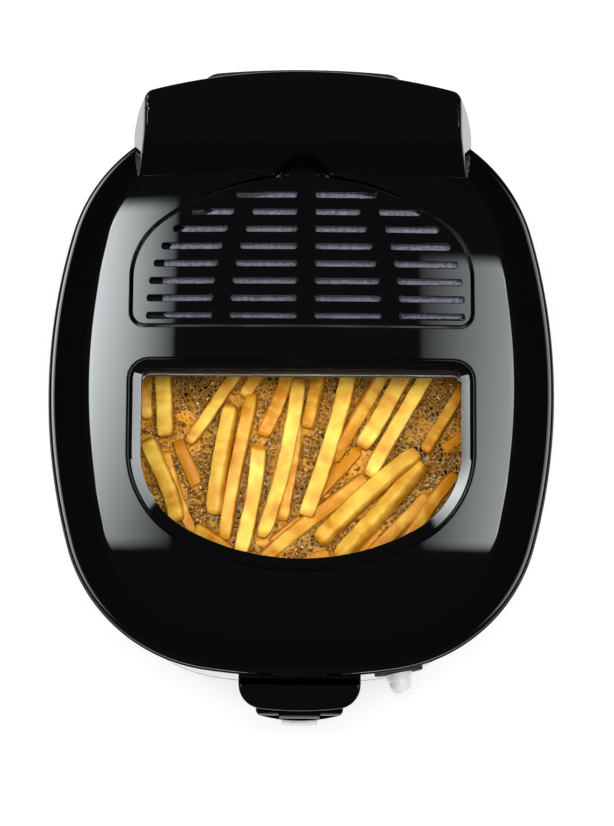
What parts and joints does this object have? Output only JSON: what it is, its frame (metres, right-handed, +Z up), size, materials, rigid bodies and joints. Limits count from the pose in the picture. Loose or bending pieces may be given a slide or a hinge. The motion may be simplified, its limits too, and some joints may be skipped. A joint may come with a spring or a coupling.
{
  "type": "deep fryer",
  "caption": "Oval domestic deep fryer with a hinged gloss black lid, viewing window, slotted filter cover, steel body, thermostat knob and a basket with a folding handle.",
  "frame": {"origin": "on the table, under the middle of the object's bounding box", "axes": "+Z up, +Y towards the rear hinge, +X to the right seen from the front"},
  "size_m": [0.2796, 0.3648, 0.2233],
  "materials": {
    "gloss_black": "high gloss moulded black",
    "matte_black": "fine matt moulded black",
    "body_steel": "brushed round the body",
    "inner_steel": "plain pressed sheet",
    "pot_coating": "dark non-stick coating",
    "knob_chrome": "bright",
    "silver_plastic": "silver painted",
    "pane": "clear",
    "felt": "pale grey speckled felt",
    "carbon": "black carbon fleece",
    "seal_rubber": "matt",
    "wire": "plated wire",
    "fastener_steel": "zinc plated",
    "heater_tube": "heat tinted",
    "pin_brass": "plain",
    "pilot_red": "translucent red lens",
    "cutout_ceramic": "plain"
  },
  "bodies": {
    "base": {"base_plate": "matte_black", "feet": "seal_rubber", "base_screws": "fastener_steel", "outer_jacket": "body_steel", "grip_left": "matte_black", "grip_right": "matte_black", "top_collar": "matte_black", "oil_pot": "pot_coating", "heating_ring": "heater_tube", "heat_shield": "inner_steel", "thermal_cutout": "cutout_ceramic", "terminal_block": "matte_black", "thermostat": "matte_black", "dial_plate": "gloss_black", "pilot_light": "pilot_red", "rear_housing": "matte_black", "housing_screws": "fastener_steel", "power_inlet": "matte_black", "inlet_pins": "pin_brass"},
    "lid": {"lid_shell": "gloss_black", "hinge_rod": "fastener_steel", "filter_tray": "matte_black", "carbon_filter": "carbon", "filter_mat": "felt", "window_bezel": "gloss_black", "window_glass": "pane", "window_seal": "seal_rubber", "window_clamp": "inner_steel", "lid_liner": "inner_steel", "lid_gasket": "seal_rubber", "liner_screws": "fastener_steel"},
    "cover": {"filter_cover": "gloss_black"},
    "dial": {"knob": "knob_chrome"},
    "basket": {"basket_mesh": "wire", "basket_frame": "wire", "handle_bracket": "gloss_black"},
    "handle": {"handle_grip": "gloss_black", "handle_pin": "fastener_steel"},
    "button": {"handle_button": "silver_plastic"}
  },
  "joints": [
    {"name": "lid_hinge", "type": "hinge", "parent": "base", "child": "lid", "pos_m": [0, 0.171, 0.176], "axis": [-1, 0, 0], "range_deg": [0, 80]},
    {"name": "cover_hinge", "type": "hinge", "parent": "lid", "child": "cover", "pos_m": [0, 0.036, 0.19922], "axis": [1, 0, 0], "range_deg": [0, 70]},
    {"name": "knob_turn", "type": "hinge", "parent": "base", "child": "dial", "pos_m": [0.05689, -0.14922, 0.088], "axis": [-0.1599, 0.9871, 0], "range_deg": [0, 270]},
    {"name": "basket_lift", "type": "slide", "parent": "base", "child": "basket", "axis": [0, 0, 1], "range_m": [0, 0.013]},
    {"name": "handle_fold", "type": "hinge", "parent": "basket", "child": "handle", "pos_m": [0, -0.1722, 0.1615], "axis": [-1, 0, 0], "range_deg": [0, 90]},
    {"name": "button_press", "type": "slide", "parent": "handle", "child": "button", "axis": [0, 1, 0], "range_m": [0, 0.002], "stiffness_N_per_m": 400}
  ]
}
